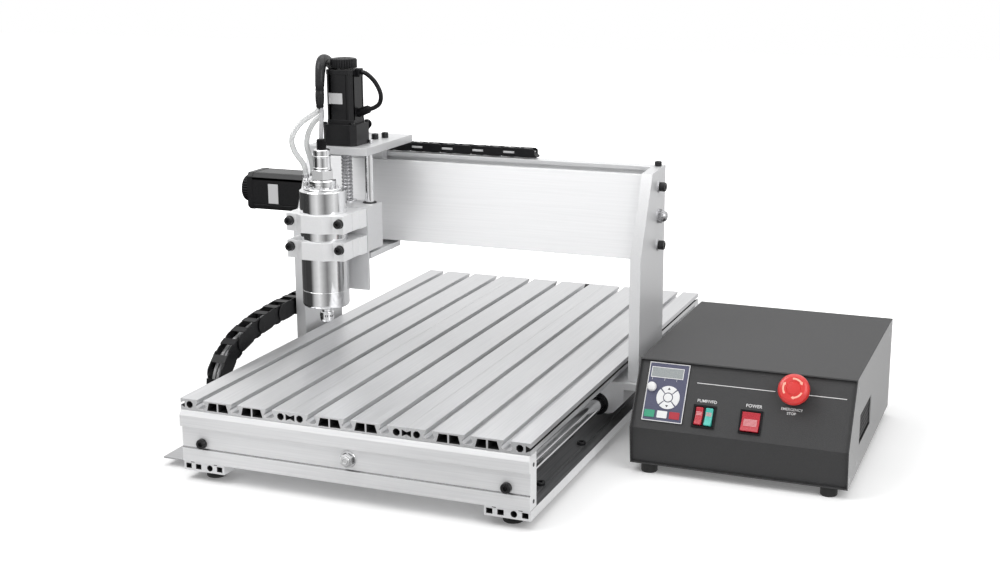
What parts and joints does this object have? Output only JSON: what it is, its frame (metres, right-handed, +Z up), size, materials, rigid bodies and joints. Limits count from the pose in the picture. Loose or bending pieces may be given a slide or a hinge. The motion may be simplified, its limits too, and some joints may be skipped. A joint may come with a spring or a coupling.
{
  "type": "desktop cnc router",
  "caption": "Desktop gantry CNC router with slotted aluminium bed, water-cooled spindle on a moving gantry, drag chains, and a separate sloped control box.",
  "frame": {"origin": "middle of the whole object's footprint on the floor", "axes": "+X along the gantry towards the control box, +Y from the front panel to the rear, +Z up"},
  "size_m": [0.9632, 0.8794, 0.5224],
  "materials": {
    "anodised": "satin anodised",
    "chrome": "polished",
    "steel": "ground",
    "black_plastic": "matt",
    "motor_black": "satin black",
    "rubber": "matt",
    "clear_hose": "clear and glossy",
    "grey_cable": "matt",
    "charcoal": "textured powder coat",
    "red": "gloss",
    "green": "gloss",
    "white": "gloss",
    "keypad": "printed film"
  },
  "bodies": {
    "base": {"bed_slat_1": "anodised", "bed_slat_2": "anodised", "bed_slat_3": "anodised", "front_panel": "anodised", "rear_panel": "anodised", "base_rail_left": "anodised", "base_rail_right": "anodised", "foot_front_left": "rubber", "foot_front_right": "rubber", "foot_rear_left": "rubber", "foot_rear_right": "rubber", "y_rod_left": "chrome", "y_rod_right": "chrome", "y_motor": "motor_black", "chain_tray": "steel", "y_drag_chain": "black_plastic", "control_box": "charcoal", "keypad": "keypad"},
    "y_screw_shaft": {"y_screw": "steel", "y_knob": "black_plastic"},
    "gantry": {"gantry_side_left": "anodised", "gantry_side_right": "anodised", "gantry_foot_frame": "anodised", "beam_front": "anodised", "beam_rear": "anodised", "x_rod_top": "chrome", "x_rod_bottom": "chrome", "x_motor": "motor_black", "x_drag_chain": "black_plastic"},
    "x_screw_shaft": {"x_screw": "steel", "x_knob": "black_plastic"},
    "x_carriage": {"x_block": "anodised", "z_top_plate": "anodised", "z_bottom_plate": "anodised", "z_rod_left": "chrome", "z_rod_right": "chrome", "z_motor": "motor_black", "cable_sleeve": "black_plastic", "motor_cable": "black_plastic"},
    "z_screw_shaft": {"z_screw": "steel", "z_knob": "black_plastic"},
    "z_carriage": {"z_slide": "anodised", "clamp_lower_rear": "anodised", "clamp_lower_front": "anodised", "clamp_upper_rear": "anodised", "clamp_upper_front": "anodised", "spindle_body": "chrome", "spindle_plug": "chrome", "water_fitting_1": "chrome", "water_fitting_2": "chrome", "water_hose_1": "clear_hose", "water_hose_2": "clear_hose", "spindle_cable": "grey_cable"},
    "rotor": {"rotor": "steel"},
    "stop": {"estop_button": "red"},
    "power": {"power_rocker": "red"},
    "pump": {"rocker_red": "red"},
    "drive": {"rocker_green": "green"},
    "speed": {"keypad_knob": "white"}
  },
  "joints": [
    {"name": "gantry_slide", "type": "slide", "parent": "base", "child": "gantry", "axis": [0, 1, 0], "range_m": [-0.315, 0.285]},
    {"name": "carriage_slide", "type": "slide", "parent": "gantry", "child": "x_carriage", "axis": [1, 0, 0], "range_m": [-0.04, 0.36]},
    {"name": "spindle_slide", "type": "slide", "parent": "x_carriage", "child": "z_carriage", "axis": [0, 0, 1], "range_m": [-0.003, 0.068], "deforming": ["water_hose_1", "water_hose_2", "spindle_cable"]},
    {"name": "y_screw_spin", "type": "hinge", "parent": "base", "child": "y_screw_shaft", "pos_m": [-0.09005, -0.03025, 0.059], "axis": [0, 1, 0], "range_deg": [-20540, 22700]},
    {"name": "x_screw_spin", "type": "hinge", "parent": "gantry", "child": "x_screw_shaft", "pos_m": [-0.09005, -0.00025, 0.303], "axis": [1, 0, 0], "range_deg": [-25940, 2900]},
    {"name": "z_screw_spin", "type": "hinge", "parent": "x_carriage", "child": "z_screw_shaft", "pos_m": [-0.25105, -0.10725, 0.3], "axis": [0, 0, 1], "range_deg": [-4916, 236]},
    {"name": "rotor_spin", "type": "hinge", "parent": "z_carriage", "child": "rotor", "pos_m": [-0.25105, -0.17925, 0.17], "axis": [0, 0, 1], "continuous": true},
    {"name": "stop_push", "type": "slide", "parent": "base", "child": "stop", "axis": [0, 0.8635, -0.5044], "range_m": [0, 0.004]},
    {"name": "power_rock", "type": "hinge", "parent": "base", "child": "power", "pos_m": [0.35485, -0.18559, 0.08304], "axis": [1, 0, 0], "range_deg": [0, 12]},
    {"name": "pump_rock", "type": "hinge", "parent": "base", "child": "pump", "pos_m": [0.28795, -0.18553, 0.08313], "axis": [1, 0, 0], "range_deg": [0, 12]},
    {"name": "drive_rock", "type": "hinge", "parent": "base", "child": "drive", "pos_m": [0.30075, -0.18553, 0.08313], "axis": [1, 0, 0], "range_deg": [0, 12]},
    {"name": "speed_turn", "type": "hinge", "parent": "base", "child": "speed", "pos_m": [0.22115, -0.17161, 0.11113], "axis": [0, -0.8635, 0.5044], "range_deg": [-140, 140]}
  ],
  "couplings": [
    {"joint": "y_screw_spin", "follows": "gantry_slide", "rad_per_m": -1256.6},
    {"joint": "x_screw_spin", "follows": "carriage_slide", "rad_per_m": -1256.6},
    {"joint": "z_screw_spin", "follows": "spindle_slide", "rad_per_m": -1256.6}
  ]
}
